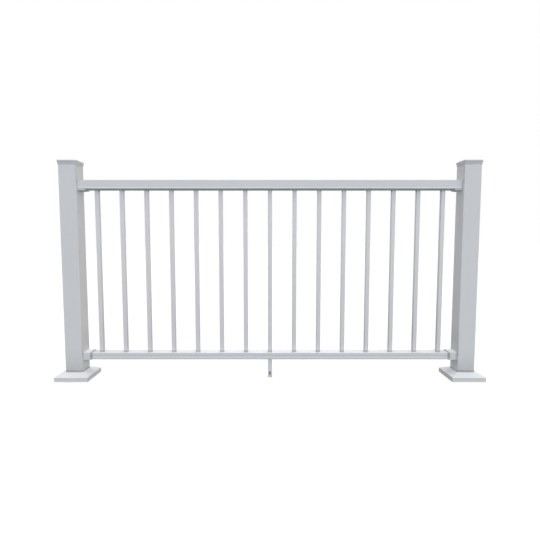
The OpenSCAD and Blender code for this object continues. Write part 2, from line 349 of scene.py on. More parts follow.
class AnchorSettings(bpy.types.PropertyGroup):
    """The bolts that hold the base plates down, under the skirts."""

    across_flats: FloatProperty(
        name="Across Flats", description="Width of the bolt's hexagon head",
        subtype="DISTANCE", unit="LENGTH", min=0.01, max=0.019, default=0.016,
    )
    head_height: FloatProperty(
        name="Head Height", description="Height of the bolt's head",
        subtype="DISTANCE", unit="LENGTH", min=0.004, max=0.008, default=0.0064,
    )
    shank_diameter: FloatProperty(
        name="Shank Diameter", description="Diameter of the bolt in the plate's hole",
        subtype="DISTANCE", unit="LENGTH", min=0.006, max=0.0105, default=0.01,
    )
    washer_diameter: FloatProperty(
        name="Washer Diameter", description="Outside diameter of the washer",
        subtype="DISTANCE", unit="LENGTH", min=0.016, max=0.024, default=0.02,
    )
    washer_thickness: FloatProperty(
        name="Washer Thickness", description="Thickness of the washer",
        subtype="DISTANCE", unit="LENGTH", min=0.001, max=0.003, default=0.002,
    )
    edge_distance: FloatProperty(
        name="Edge Distance", description="Distance from the plate's edge to a bolt's middle",
        subtype="DISTANCE", unit="LENGTH", min=0.012, max=0.016, default=0.0145,
    )


class ScrewSettings(bpy.types.PropertyGroup):
    """The screws that hold the brackets to the rails and the foot to the deck."""

    head_diameter: FloatProperty(
        name="Head Diameter", description="Diameter of a screw's pan head",
        subtype="DISTANCE", unit="LENGTH", min=0.004, max=0.012, default=0.0084,
    )
    head_height: FloatProperty(
        name="Head Height", description="Height of a screw's pan head",
        subtype="DISTANCE", unit="LENGTH", min=0.001, max=0.004, default=0.0024,
    )
    recess_depth: FloatProperty(
        name="Recess Depth", description="Depth of the cross recess in the head",
        subtype="DISTANCE", unit="LENGTH", min=0.0005, max=0.003, default=0.0015,
    )


class WeldSettings(bpy.types.PropertyGroup):
    """The fillet weld between each post and its base plate."""

    leg: FloatProperty(
        name="Weld Leg", description="Width and height of the fillet",
        subtype="DISTANCE", unit="LENGTH", min=0.002, max=0.008, default=0.005,
    )
    ripple_pitch: FloatProperty(
        name="Ripple Pitch", description="Distance between two ripples of the bead",
        subtype="DISTANCE", unit="LENGTH", min=0.001, max=0.006, default=0.0026,
    )
    ripple_height: FloatProperty(
        name="Ripple Height", description="Height of a ripple as a share of the fillet",
        subtype="FACTOR", min=0, max=0.3, default=0.10,
    )


class StudioSettings(bpy.types.PropertyGroup):
    """The floor, light and camera."""

    floor_width: FloatProperty(
        name="Floor Width", description="Width of the square floor",
        subtype="DISTANCE", unit="LENGTH", min=5, max=200, default=60,
    )
    floor_reflectance: FloatProperty(
        name="Floor Reflectance", description="How much light the floor throws back up",
        subtype="FACTOR", min=0, max=1, default=0.23,
    )
    floor_glow: FloatProperty(
        name="Floor Glow", description="How bright the floor looks to the camera by itself",
        subtype="FACTOR", min=0, max=1, default=0.855,
    )
    sky_strength: FloatProperty(
        name="Sky Strength", description="Strength of the even light from all round",
        min=0, max=3, default=0.44,
    )
    sky_colour: FloatVectorProperty(
        name="Sky Colour", description="Colour of the even light from all round",
        subtype="COLOR", size=3, min=0, max=1, default=(0.97, 0.985, 1.0),
    )
    top_strength: FloatProperty(
        name="Top Lamp Strength", description="Strength of the overhead lamp, in watts a square metre",
        min=0, max=10, default=1.36,
    )
    top_colour: FloatVectorProperty(
        name="Top Lamp Colour", description="Colour of the overhead lamp's light",
        subtype="COLOR", size=3, min=0, max=1, default=(1.0, 0.99, 0.97),
    )
    top_spread: FloatProperty(
        name="Top Lamp Spread", description="How wide the overhead lamp looks from the railing",
        subtype="ANGLE", unit="ROTATION", min=0, max=3.1, default=math.radians(70),
    )
    front_strength: FloatProperty(
        name="Front Lamp Strength", description="Strength of the front lamp, in watts a square metre",
        min=0, max=10, default=0.64,
    )
    low_spread: FloatProperty(
        name="Low Lamp Spread", description="How wide the front, side and back lamps look",
        subtype="ANGLE", unit="ROTATION", min=0, max=3.1, default=math.radians(30),
    )
    front_direction: FloatVectorProperty(
        name="Front Lamp Direction", description="Where the front lamp stands, seen from the railing",
        subtype="XYZ", size=3, default=(0.0, -1.0, 0.25),
    )
    front_colour: FloatVectorProperty(
        name="Front Lamp Colour", description="Colour of the front lamp's light",
        subtype="COLOR", size=3, min=0, max=1, default=(0.74, 0.87, 1.0),
    )
    side_strength: FloatProperty(
        name="Side Lamp Strength", description="Strength of the side lamp, in watts a square metre",
        min=0, max=10, default=0.43,
    )
    side_direction: FloatVectorProperty(
        name="Side Lamp Direction", description="Where the side lamp stands, seen from the railing",
        subtype="XYZ", size=3, default=(0.80, -0.55, 0.25),
    )
    side_colour: FloatVectorProperty(
        name="Side Lamp Colour", description="Colour of the side lamp's light",
        subtype="COLOR", size=3, min=0, max=1, default=(1.0, 0.92, 0.79),
    )
    back_strength: FloatProperty(
        name="Back Lamp Strength", description="Strength of the back lamp, in watts a square metre",
        min=0, max=10, default=0.6,
    )
    back_direction: FloatVectorProperty(
        name="Back Lamp Direction", description="Where the back lamp stands, seen from the railing",
        subtype="XYZ", size=3, default=(0.0, 1.0, 0.15),
    )
    camera_place: FloatVectorProperty(
        name="Camera Place", description="Camera from the middle of the bay at floor level",
        subtype="XYZ", unit="LENGTH", size=3, default=(0.0, -1.889, 0.6545),
    )
    camera_pitch: FloatProperty(
        name="Camera Pitch", description="How far the camera looks down",
        subtype="ANGLE", unit="ROTATION", min=-1.5, max=1.5, default=math.radians(4.437),
    )
    camera_lens: FloatProperty(
        name="Camera Lens", description="Focal length on a 36 mm sensor, in millimetres",
        min=10, max=200, default=27.13,
    )


GROUPS = {
    "railing_coat": CoatSettings,
    "railing_dust": ShadeSettings,
    "railing_trim": TrimSettings,
    "railing_edges": EdgeSettings,
    "railing_anchors": AnchorSettings,
    "railing_screws": ScrewSettings,
    "railing_welds": WeldSettings,
    "railing_studio": StudioSettings,
}


# ---- Where the pieces are ----


def nodes_named(start):
    """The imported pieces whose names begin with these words, in order."""
    return [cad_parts[name] for name in sorted(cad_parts) if name.startswith(start)]


def middle(node):
    """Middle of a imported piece's box."""
    low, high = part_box(node)
    return (low + high) / 2


def top(node):
    """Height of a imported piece's top above the deck."""
    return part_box(node)[1].z


# ---- Surfaces ----


def closed_column(rows):
    """Closed surface through rings of points, with a point at the middle of the first and last.

    Neighbouring rings are joined by quads that wrap round, and each end ring by triangles to the
    mean of its points.
    """
    rings, around = rows.shape[:2]
    step = np.arange(around)
    following = (step + 1) % around
    ring = around * np.arange(rings - 1)[:, None]
    quads = np.stack([
        ring + step, ring + following, ring + around + following, ring + around + step,
    ], axis=-1).reshape(-1, 4)
    first, last, upper = rings * around, rings * around + 1, (rings - 1) * around
    below = np.stack([np.full(around, first), following, step], axis=-1)
    above = np.stack([np.full(around, last), upper + step, upper + following], axis=-1)
    points = np.concatenate([
        rows.reshape(-1, 3), rows[0].mean(0, keepdims=True), rows[-1].mean(0, keepdims=True),
    ])
    return points, [quads, below, above]


def closed_loop(rows):
    """Closed surface through a grid of points that wraps round both ways, all of it quads."""
    along, around = rows.shape[:2]
    i, j = np.meshgrid(np.arange(along), np.arange(around), indexing="ij")
    i_next, j_next = (i + 1) % along, (j + 1) % around
    quads = np.stack([
        i * around + j, i_next * around + j, i_next * around + j_next, i * around + j_next,
    ], axis=-1).reshape(-1, 4)
    return rows.reshape(-1, 3), [quads]


def placed(part, place, turn=(1, 1, 1)):
    """The same surface with each point multiplied by the turn's signs, then moved to a place."""
    points, faces = part
    return points * turn + place, faces


def piece(name, parts, finish):
    """Joins surfaces into one mesh piece that sits at the origin and rides on the railing."""
    points, faces, start = [], [], 0
    for part_points, part_faces in parts:
        points.append(part_points)
        for corners in part_faces:
            faces += (start + corners).tolist()
        start += len(part_points)
    mesh = bpy.data.meshes.new(name)
    mesh.from_pydata(np.concatenate(points), [], faces)
    mesh.polygons.foreach_set("use_smooth", np.ones(len(mesh.polygons), bool))
    mesh.set_sharp_from_angle(angle=SHARP_ANGLE)
    mesh.materials.append(finish)
    made = bpy.data.objects.new(name, mesh)
    bpy.context.scene.collection.objects.link(made)
    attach(made, BODY)


def hexagon_radius(angle, across_flats):
    """Reach of a hexagon: half its width over the cosine of the turn from the nearest flat."""
    from_flat = np.mod(angle + np.pi / 6, np.pi / 3) - np.pi / 6
    return across_flats / 2 / np.cos(from_flat)


def anchor_bolt(centre, seat_z, turn, sizes):
    """Hexagon bolt from the deck up through its washer, as rings of radius over height.

    The shank's rings are circles and the head's are hexagons. Near the top each ring is the
    smaller of the hexagon and a cone, which gives the curved chamfer of a turned bolt head.
    """
    angle = np.linspace(0, 2 * np.pi, BOLT_STEPS, endpoint=False)
    hexagon = hexagon_radius(angle + turn, sizes.across_flats)
    corner = sizes.across_flats / 2 / math.cos(math.pi / 6)
    face_radius = BOLT_FACE_SHARE * sizes.across_flats
    head_top = seat_z + sizes.head_height
    chamfer = (corner - face_radius) * math.tan(BOLT_CHAMFER_ANGLE)
    share = np.linspace(0, 1, BOLT_CHAMFER_RINGS)
    shank = np.full((2, BOLT_STEPS), sizes.shank_diameter / 2)
    cone = corner + share[:, None] * (face_radius - corner)
    radii = np.concatenate([shank, hexagon[None], np.minimum(hexagon, cone)])
    heights = np.concatenate([[0.0, seat_z, seat_z], head_top - chamfer * (1 - share)])
    rows = np.stack([
        centre[0] + radii * np.cos(angle),
        centre[1] + radii * np.sin(angle),
        np.broadcast_to(heights[:, None], radii.shape),
    ], axis=-1)
    return closed_column(rows)


def washer(centre, low_z, sizes):
    """Flat ring: a rectangle with bevelled corners carried round a circle."""
    angle = np.linspace(0, 2 * np.pi, WASHER_STEPS, endpoint=False)
    inner, outer = sizes.shank_diameter / 2 + WASHER_ROOM, sizes.washer_diameter / 2
    thick, bevel = sizes.washer_thickness, WASHER_BEVEL
    radius = np.array([
        inner + bevel, outer - bevel, outer, outer, outer - bevel, inner + bevel, inner, inner,
    ])
    height = np.array([0, 0, bevel, thick - bevel, thick, thick, thick - bevel, bevel])
    rows = np.stack([
        centre[0] + radius * np.cos(angle)[:, None],
        centre[1] + radius * np.sin(angle)[:, None],
        low_z + np.broadcast_to(height, (len(angle), len(height))),
    ], axis=-1)
    return closed_loop(rows)


def smooth_step(low, high, value):
    """0 below low, 1 above high, and a cubic ease between them."""
    share = np.clip((value - low) / (high - low), 0, 1)
    return share * share * (3 - 2 * share)


def pan_screw(sizes):
    """Pan head on the origin, facing up, with a cross recess.

    The radius follows a sine from the rim to the crown, and the height is the rise times the
    square root of one less the fourth power of the radius's share. The recess is subtracted
    where a point is near either arm of a cross and not too far from the middle, and its walls
    are smooth steps.
    """
    head, rise = sizes.head_diameter / 2, sizes.head_height
    arm, arm_reach = CROSS_ARM * sizes.head_diameter, CROSS_REACH * sizes.head_diameter
    angle = np.linspace(0, 2 * np.pi, SCREW_STEPS, endpoint=False)
    dome = np.sin(np.linspace(np.pi / 2, CROWN_ANGLE, DOME_RINGS))
    share = np.concatenate([[SCREW_NECK, 1.0], dome])[:, None]
    x = head * share * np.cos(angle)
    y = head * share * np.sin(angle)
    height = np.zeros_like(x) + rise * (1 - share ** DOME_POWER) ** 0.5
    height[:2] = 0
    height[2] = SCREW_RIM * rise
    near, far = np.minimum(abs(x), abs(y)), np.maximum(abs(x), abs(y))
    beside_arm = smooth_step(CROSS_WALL * arm, arm, near)
    past_arm = smooth_step(CROSS_END, 1.0, far / arm_reach)
    recess = (1 - beside_arm) * (1 - past_arm)
    recess[:3] = 0
    return closed_column(np.stack([x, y, height - sizes.recess_depth * recess], axis=-1))


def rounded_square_path(half, radius, count):
    """Points, outward directions and distances, evenly round a square with round corners.

    The square is walked as four straight stretches and four quarter circles, each point being
    its corner's centre plus the radius times the outward direction.
    """
    flat = 2 * (half - radius)
    quarter = math.pi * radius / 2
    travelled = np.linspace(0, 4 * (flat + quarter), count, endpoint=False)
    side = np.floor(travelled / (flat + quarter))
    along = travelled - side * (flat + quarter)
    turn = np.clip((along - flat) / quarter, 0, 1) * np.pi / 2 + side * np.pi / 2
    out = np.stack([np.cos(turn), np.sin(turn)], axis=-1)
    across, forward = half - radius, np.minimum(along, flat) - flat / 2
    cosine, sine = np.cos(side * np.pi / 2), np.sin(side * np.pi / 2)
    base = np.stack([across * cosine - forward * sine, across * sine + forward * cosine], axis=-1)
    return base + radius * out, out, travelled


def weld_bead(centre, half, corner_radius, low_z, sizes):
    """Fillet weld round a square tube: a bulged triangle carried along the tube's outline.

    The bulge swells and sinks with the distance travelled, and its crests lag behind towards
    the fillet's middle, so that they lie as curved scallops.
    """
    count = int(8 * half / sizes.ripple_pitch * RIPPLE_STEPS)
    path, out, travelled = rounded_square_path(half, corner_radius, count)
    travelled = travelled[:, None]
    sweep = np.linspace(0, np.pi / 2, BEAD_POINTS)
    lag = CREST_LAG * np.sin(2 * sweep) ** 0.5
    crest = 0.5 + 0.5 * np.sin(2 * np.pi * travelled / sizes.ripple_pitch + lag)
    slow, slower = (np.sin(travelled / length) for length in BEAD_WAVES)
    swell = sizes.leg * (1 + BEAD_WANDER * slow * slower) * (1 + sizes.ripple_height * crest)
    swell = swell * (1 - BEAD_FLATTENING + BEAD_FLATTENING * abs(np.cos(2 * sweep)))
    reach = np.concatenate([swell * np.cos(sweep), np.full((count, 1), -BEAD_ROOT)], axis=1)
    rise = np.concatenate([swell * np.sin(sweep), np.zeros((count, 1))], axis=1)
    rows = np.stack([
        centre[0] + path[:, :1] + out[:, :1] * reach,
        centre[1] + path[:, 1:] + out[:, 1:] * reach,
        low_z + rise,
    ], axis=-1)
    return closed_loop(rows)


# ---- Finishes ----


def feed(tree, target, value):
    """Gives a node's input this value, or links it where the value is another node's output."""
    if isinstance(value, bpy.types.NodeSocket):
        tree.links.new(value, target)
    else:
        target.default_value = value


def add_node(tree, kind, inputs=None, **settings):
    """A new node of this kind, with its settings and its inputs by name or number."""
    node = tree.nodes.new(kind)
    for name, value in settings.items():
        setattr(node, name, value)
    for name, value in (inputs or {}).items():
        feed(tree, node.inputs[name], value)
    return node


class Recipe:
    """A node material under construction, with its shader and the piece's own coordinates."""

    def __init__(self, name):
        self.material = bpy.data.materials.new(name)
        self.material.use_nodes = True
        self.tree = self.material.node_tree
        self.tree.nodes.clear()
        self.shader = self.add("ShaderNodeBsdfPrincipled")
        self.add("ShaderNodeOutputMaterial", {"Surface": self.shader.outputs["BSDF"]})
        self.place = self.add("ShaderNodeTexCoord").outputs["Object"]

    def add(self, kind, inputs=None, **settings):
        """A new node in this material."""
        return add_node(self.tree, kind, inputs, **settings)

    def finished(self, inputs):
        """The material, once these inputs of its shader are set."""
        for name, value in inputs.items():
            feed(self.tree, self.shader.inputs[name], value)
        return self.material

    def part(self, vector, axis):
        """One part of a vector, by the name of its axis."""
        return self.add("ShaderNodeSeparateXYZ", {"Vector": vector}).outputs[axis]

    def height(self):
        """Height above the deck."""
        return self.part(self.place, "Z")

    def facing(self, axis):
        """How far the surface looks along this axis, from -1 to 1."""
        return self.part(self.add("ShaderNodeTexCoord").outputs["Normal"], axis)

    def facing_either_way(self, axis):
        """How far the surface looks along this axis or against it, from 0 to 1."""
        return self.math("ABSOLUTE", self.facing(axis))

    def sheltered(self, reach):
        """1 deep in a joint and 0 in the open, from how much of the sky is hidden nearby."""
        node = self.add("ShaderNodeAmbientOcclusion", {"Distance": reach}, samples=SHELTER_SAMPLES)
        return self.math("SUBTRACT", 1.0, node.outputs["AO"])

    def math(self, operation, first, second=0.0):
        """Arithmetic on one value or two."""
        return self.add("ShaderNodeMath", {0: first, 1: second}, operation=operation).outputs[0]

    def ramp(self, value, span, to_low, to_high, smooth=False):
        """A value carried from a span to another one, from to_low to to_high, and kept inside."""
        node = self.add("ShaderNodeMapRange", {
            "Value": value, "From Min": span[0], "From Max": span[1],
            "To Min": to_low, "To Max": to_high,
        }, interpolation_type="SMOOTHSTEP" if smooth else "LINEAR")
        return node.outputs["Result"]

    def mix(self, share, first, second):
        """A colour between two others."""
        node = self.add("ShaderNodeMix", {
            0: share, MIX_FIRST_COLOUR: first, MIX_SECOND_COLOUR: second,
        }, data_type="RGBA")
        return node.outputs[MIX_RESULT_COLOUR]

    def noise(self, scale, detail=2.0, place=None, roughness=0.5):
        """Fractal noise from 0 to 1, with this many features a metre."""
        node = self.add("ShaderNodeTexNoise", {
            "Vector": place or self.place, "Scale": scale, "Detail": detail,
            "Roughness": roughness,
        })
        return node.outputs["Fac"]

    def clouds(self, scale, low, high, detail=3.0):
        """Noise carried over to a range of values."""
        return self.ramp(self.noise(scale, detail), NOISE_SPAN, low, high)

    def die_lines(self, axis):
        """Noise drawn out into long lines along an axis."""
        scale = [LINE_SCALE] * 3
        scale[axis] = LINE_SCALE / LINE_STRETCH
        stretched = self.add("ShaderNodeMapping", {"Vector": self.place, "Scale": scale})
        return self.noise(1.0, place=stretched.outputs["Vector"])

    def raised(self, height, depth, under=None):
        """A normal bent by a height from 0 to 1, that many metres deep, over another normal."""
        node = self.add("ShaderNodeBump", {"Height": height, "Distance": depth, "Strength": 1.0})
        if under is not None:
            feed(self.tree, node.inputs["Normal"], under)
        return node.outputs["Normal"]


def shade(colour, tone=1.0):
    """A colour made darker or lighter, with its alpha."""
    return [min(1.0, channel * tone) for channel in colour] + [1.0]


def patchy(r, share, thin, thick):
    """A share of painted shade made uneven by patches, between these two factors."""
    pattern = r.noise(SHADE_PATCH_SCALE, PATCH_DETAIL, roughness=PATCH_ROUGHNESS)
    patches = r.ramp(pattern, PATCH_SPAN, thin, thick)
    return r.math("MULTIPLY", share, patches)


def fading_up(r, low, high, amount):
    """A share of painted shade that fades upwards: what is left of its height, to a power."""
    left = r.ramp(r.height(), (low, high), 1.0, 0.0)
    return r.math("MULTIPLY", r.math("POWER", left, SHADE_FALL), amount)


def inwards(r):
    """How far a surface looks towards the bay's middle, from -1 to 1.

    It is the way to the middle, as a share of the bay's half, times the normal along the bay.
    """
    low, high = CAD_BOX
    middle_x, half = (low.x + high.x) / 2, (high.x - low.x) / 2
    way = r.math("DIVIDE", r.math("SUBTRACT", middle_x, r.part(r.place, "X")), half)
    return r.math("MULTIPLY", way, r.facing("X"))


def shade_in_joints(r, reach=None, amount=None):
    """Share of the coat darkened by painted shade: most in tight joints, where shade falls, and none
    close to the deck.
    """
    darkening = bpy.context.scene.railing_dust
    hidden = r.sheltered(reach or darkening.reach)
    joints = r.ramp(hidden, JOINT_SPAN, 0.0, amount or darkening.amount, smooth=True)
    deck_band = (darkening.shade_free_height, SHADE_FREE_FADE * darkening.shade_free_height)
    above_deck = r.ramp(r.height(), deck_band, 0.0, 1.0, smooth=True)
    return r.math("MULTIPLY", patchy(r, joints, *JOINT_SHADE_PATCHES), above_deck)


def shade_on_caps(r):
    """More painted shade, standing in for the shade in the hollows under the caps' rims."""
    return shade_in_joints(r, amount=bpy.context.scene.railing_dust.cap_shade_amount)


def shade_on_seats(r):
    """Painted shade close to the joints, and on the faces under the seat that look down, where shade
    falls.
    """
    darkening = bpy.context.scene.railing_dust
    below = r.ramp(r.facing("Z"), (-1.0, 0.0), darkening.seat_shade_amount, 0.0)
    return r.math("MAXIMUM", shade_in_joints(r, darkening.seat_shade_reach), below)


def shade_on_balusters(r):
    """Painted shade where a baluster enters a rail, and painted shade that fades upwards from the lower
    one.

    The fading shade is heavier on the sides that look along the rail.
    """
    darkening = bpy.context.scene.railing_dust
    joints = shade_in_joints(r, darkening.baluster_shade_reach, darkening.baluster_shade_amount)
    rail_top = top("bottom_rail")
    spread_shade = r.ramp(r.height(), (rail_top, darkening.spread_shade_top), darkening.spread_shade_amount, 0.0)
    sides = fading_up(r, rail_top, darkening.spread_shade_top, darkening.spread_side_shade_amount)
    spread_shade = r.math("ADD", spread_shade, r.math("MULTIPLY", sides, r.facing_either_way("X")))
    return r.math("MAXIMUM", joints, patchy(r, spread_shade, *SPREAD_SHADE_PATCHES))


def darker_towards_deck(r):
    """Share of painted shade that darkens pieces towards the deck."""
    darkening = bpy.context.scene.railing_dust
    skirt_top = top("post_skirt_left")
    return fading_up(r, skirt_top, skirt_top + darkening.deck_shade_height, darkening.deck_shade_amount)


def shade_above_rails(r):
    """Share of painted shade on the posts beside the rails, darkening the light that the rails' tops
    throw onto them.

    Only faces that look inwards get it. It is heaviest at a rail's top and fades upwards, and
    downwards beside the rail.
    """
    darkening = bpy.context.scene.railing_dust
    hidden = r.ramp(inwards(r), INWARD_SHADE_TURN, 0.0, darkening.rail_shade_amount)
    shares = []
    for rail in ("top_rail", "bottom_rail"):
        low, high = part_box(rail)
        beside = r.ramp(r.height(), (low.z, high.z), 0.0, 1.0, smooth=True)
        over = r.ramp(r.height(), (high.z, high.z + darkening.rail_shade_reach), 1.0, 0.0)
        shares.append(r.math("MULTIPLY", beside, over))
    return r.math("MULTIPLY", hidden, r.math("ADD", *shares))


def shade_on_posts(r):
    """Painted shade towards the deck on the front and back, beside the rails, and in a dark line over
    the skirt.
    """
    darkening = bpy.context.scene.railing_dust
    skirt_top = top("post_skirt_left")
    off_deck = r.math("MULTIPLY", darker_towards_deck(r), r.facing_either_way("Y"))
    line = r.ramp(r.height(), (skirt_top, skirt_top + darkening.reach), darkening.foot_shade_line, 0.0, smooth=True)
    deck_and_rail_shades = r.math("ADD", off_deck, shade_above_rails(r))
    return patchy(r, r.math("ADD", deck_and_rail_shades, line), *SPREAD_SHADE_PATCHES)


def shade_on_rails(r):
    """Painted shade in the joints and towards the deck, both kept off the faces that look up."""
    joints = r.math("MULTIPLY", shade_in_joints(r), RAIL_JOINT_SHARE)
    both = r.math("ADD", joints, patchy(r, darker_towards_deck(r), *SPREAD_SHADE_PATCHES))
    return r.math("MULTIPLY", both, r.ramp(r.facing("Z"), RAIL_UNSHADED_TURN, 1.0, 0.0))


def shade_off_lit_faces(r, lit_share):
    """Painted shade on skirts and sleeves, laid on all but their lit faces, so that those look lighter.
    """
    spread_shade = r.ramp(lit_share, (0.0, 1.0), bpy.context.scene.railing_dust.unlit_shade_amount, 0.0)
    return patchy(r, spread_shade, *SPREAD_SHADE_PATCHES)


def shade_on_sleeves(r):
    """The rails' painted shade, and painted shade on all faces but those that look up, so that these
    look lit from above.
    """
    lit_share = r.ramp(r.facing("Z"), SLEEVE_LIT_TURN, 0.0, 1.0)
    return r.math("ADD", shade_on_rails(r), shade_off_lit_faces(r, lit_share))


def shade_on_skirts(r):
    """Painted shade in the groove and joints, and painted shade on all faces but the inner slope, so
    that it looks lit.

    There is less of the joints' painted shade on the slopes, over a share of the skirt's height.
    """
    slope = [share * top("post_skirt_left") for share in SLOPE_HEIGHTS]
    kept = r.ramp(r.height(), slope, 1.0, SLOPE_JOINT_SHARE)
    joints = shade_in_joints(r, amount=bpy.context.scene.railing_dust.skirt_shade_amount)
    turned_inwards = r.ramp(inwards(r), SLOPE_LIT_TURN, 0.0, 1.0)
    spread_shade = shade_off_lit_faces(r, r.math("MULTIPLY", turned_inwards, r.facing("Z")))
    return r.math("ADD", r.math("MULTIPLY", joints, kept), spread_shade)


def powder_coat(name, lines_along=None, tone=1.0, shade_on=shade_in_joints):
    """White powder coat over aluminium.

    The tone wanders slowly along the piece, orange peel bends the normal, and extruded pieces
    keep faint die lines along their length. Painted shade is laid on as the function for the piece
    says.
    """
    coat = bpy.context.scene.railing_coat
    r = Recipe(name)
    wander = r.clouds(TONE_SCALE, 0.0, 1.0)
    colour = r.mix(wander, shade(coat.colour, tone * (1 - coat.tone_range)),
                   shade(coat.colour, tone))
    shading = shade_on(r)
    satin = r.clouds(SHEEN_SCALE, *(coat.roughness + change for change in COAT_SHEEN_RANGE))
    normal = r.raised(r.noise(1 / coat.peel_size, detail=1.5), coat.peel_depth)
    if lines_along is not None:
        normal = r.raised(r.die_lines(lines_along), coat.line_depth, under=normal)
    return r.finished({
        "Base Color": r.mix(shading, colour, shade(bpy.context.scene.railing_dust.colour)),
        "Roughness": r.math("ADD", satin, r.math("MULTIPLY", shading, SHADED_ROUGHNESS)),
        "Normal": normal,
        "IOR": COAT_IOR,
    })


def moulded_plastic(name, colour):
    """Matt moulded plastic: a fine spark-eroded grain, a slow drift of tone and painted shade in its
    joints.
    """
    darkening = bpy.context.scene.railing_dust
    r = Recipe(name)
    wander = r.clouds(PLASTIC_TONE_SCALE, 0.0, 1.0, detail=2.0)
    tone = r.mix(wander, shade(colour, PLASTIC_DULL_TONE), shade(colour))
    shading = r.ramp(r.sheltered(darkening.reach), PLASTIC_JOINT_SPAN, 0.0, PLASTIC_SHADE)
    grain = r.noise(PLASTIC_GRAIN_SCALE, detail=1.0)
    return r.finished({
        "Base Color": r.mix(shading, tone, shade(darkening.colour, PLASTIC_SHADE_TONE)),
        "Roughness": r.clouds(SHEEN_SCALE, *PLASTIC_ROUGHNESS, detail=2.0),
        "Normal": r.raised(grain, PLASTIC_GRAIN_DEPTH),
    })


def plated_steel(name, colour):
    """Zinc-plated steel: metal with cloudy roughness and a slight warm and cold drift."""
    r = Recipe(name)
    warm, cold = ([*(np.array(colour) * tint), 1.0] for tint in (STEEL_WARM, STEEL_COLD))
    return r.finished({
        "Base Color": r.mix(r.clouds(STEEL_CLOUD_SCALE, 0.0, 1.0), warm, cold),
        "Roughness": r.clouds(STEEL_SHEEN_SCALE, *STEEL_ROUGHNESS),
        "Normal": r.raised(r.noise(STEEL_GRAIN_SCALE, detail=1.0), STEEL_GRAIN_DEPTH),
        "Metallic": 1.0,
    })


def dress(nodes, finish):
    """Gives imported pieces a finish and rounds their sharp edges.

    Their loose triangles are joined and merged into flat faces before the edges are rounded.
    """
    edges = bpy.context.scene.railing_edges
    for node in nodes:
        node.material_slots[0].material = finish
        join = node.modifiers.new("join", "WELD")
        join.merge_threshold = MERGE_DISTANCE
        flatten = node.modifiers.new("flatten", "DECIMATE")
        flatten.decimate_type = "DISSOLVE"
        flatten.angle_limit = FLAT_ANGLE
        ease = node.modifiers.new("ease", "BEVEL")
        ease.width = edges.width
        ease.segments = edges.segments
        ease.limit_method = "ANGLE"
        ease.angle_limit = edges.angle
        even = node.modifiers.new("even", "WEIGHTED_NORMAL")
        even.keep_sharp = True


# ---- Stage ----


def seen_directly(tree):
    """1 for what the camera, a reflection or a refraction sees, and 0 for other light."""
    path = add_node(tree, "ShaderNodeLightPath").outputs
    seen = path["Is Camera Ray"]
    for name in ("Is Glossy Ray", "Is Transmission Ray"):
        seen = add_node(tree, "ShaderNodeMath", {0: seen, 1: path[name]},
                        operation="MAXIMUM").outputs[0]
    return seen


def make_floor(centre, studio):
    """Pale matt floor: it looks white, keeps the railing's shadow and throws little light up."""
    half = studio.floor_width / 2
    corners = [(centre.x + x * half, centre.y + y * half, -FLOOR_GAP)
               for x, y in ((-1, -1), (1, -1), (1, 1), (-1, 1))]
    mesh = bpy.data.meshes.new("floor")
    mesh.from_pydata(corners, [], [(0, 1, 2, 3)])
    floor = bpy.data.objects.new("floor", mesh)
    bpy.context.scene.collection.objects.link(floor)
    material = bpy.data.materials.new("floor_paint")
    material.use_nodes = True
    tree = material.node_tree
    tree.nodes.clear()
    paint = add_node(tree, "ShaderNodeBsdfDiffuse", {"Color": shade([studio.floor_reflectance] * 3)})
    strength = add_node(tree, "ShaderNodeMath", {0: seen_directly(tree), 1: studio.floor_glow},
                        operation="MULTIPLY")
    glow = add_node(tree, "ShaderNodeEmission", {"Strength": strength.outputs[0]})
    both = add_node(tree, "ShaderNodeAddShader", {0: paint.outputs[0], 1: glow.outputs[0]})
    add_node(tree, "ShaderNodeOutputMaterial", {"Surface": both.outputs[0]})
    mesh.materials.append(material)


def make_sky(scene, studio):
    """Even light from all round, which looks plain white where it is seen directly."""
    world = bpy.data.worlds.new("studio")
    world.use_nodes = True
    scene.world = world
    tree = world.node_tree
    background = tree.nodes["Background"]
    seen = seen_directly(tree)
    tint = add_node(tree, "ShaderNodeMix", {
        0: seen, MIX_FIRST_COLOUR: shade(studio.sky_colour), MIX_SECOND_COLOUR: WHITE,
    }, data_type="RGBA")
    strength = add_node(tree, "ShaderNodeMapRange", {
        "Value": seen, "To Min": studio.sky_strength, "To Max": 1.0,
    })
    feed(tree, background.inputs["Color"], tint.outputs[MIX_RESULT_COLOUR])
    feed(tree, background.inputs["Strength"], strength.outputs["Result"])


def make_lamp(name, strength, spread, direction, colour):
    """A wide soft lamp, far off in this direction."""
    lamp = bpy.data.lights.new(name, "SUN")
    lamp.energy = strength
    lamp.angle = spread
    lamp.color = colour
    hung = bpy.data.objects.new(name, lamp)
    hung.rotation_euler = Vector(direction).to_track_quat("Z", "Y").to_euler()
    bpy.context.scene.collection.objects.link(hung)


def make_camera(scene, centre, studio):
    """Camera in front of the middle of the bay, looking a little down."""
    data = bpy.data.cameras.new("camera")
    data.sensor_width = SENSOR_WIDTH
    data.lens = studio.camera_lens
    camera = bpy.data.objects.new("camera", data)
    camera.location = Vector((centre.x, centre.y, 0)) + Vector(studio.camera_place)
    camera.rotation_euler = (math.pi / 2 - studio.camera_pitch, 0, 0)
    scene.collection.objects.link(camera)
    scene.camera = camera


# ---- Operators ----


class RAILING_OT_posts(bpy.types.Operator):
    """Coat the posts and their base plates"""

    bl_idname = "railing.posts"
    bl_label = "Posts"

    def execute(self, context):
        coat = powder_coat("post_coat", UP, shade_on=shade_on_posts)
        dress(nodes_named("post_left") + nodes_named("post_right"), coat)
        dress(nodes_named("base_plate"), powder_coat("plate_coat"))
        return {"FINISHED"}


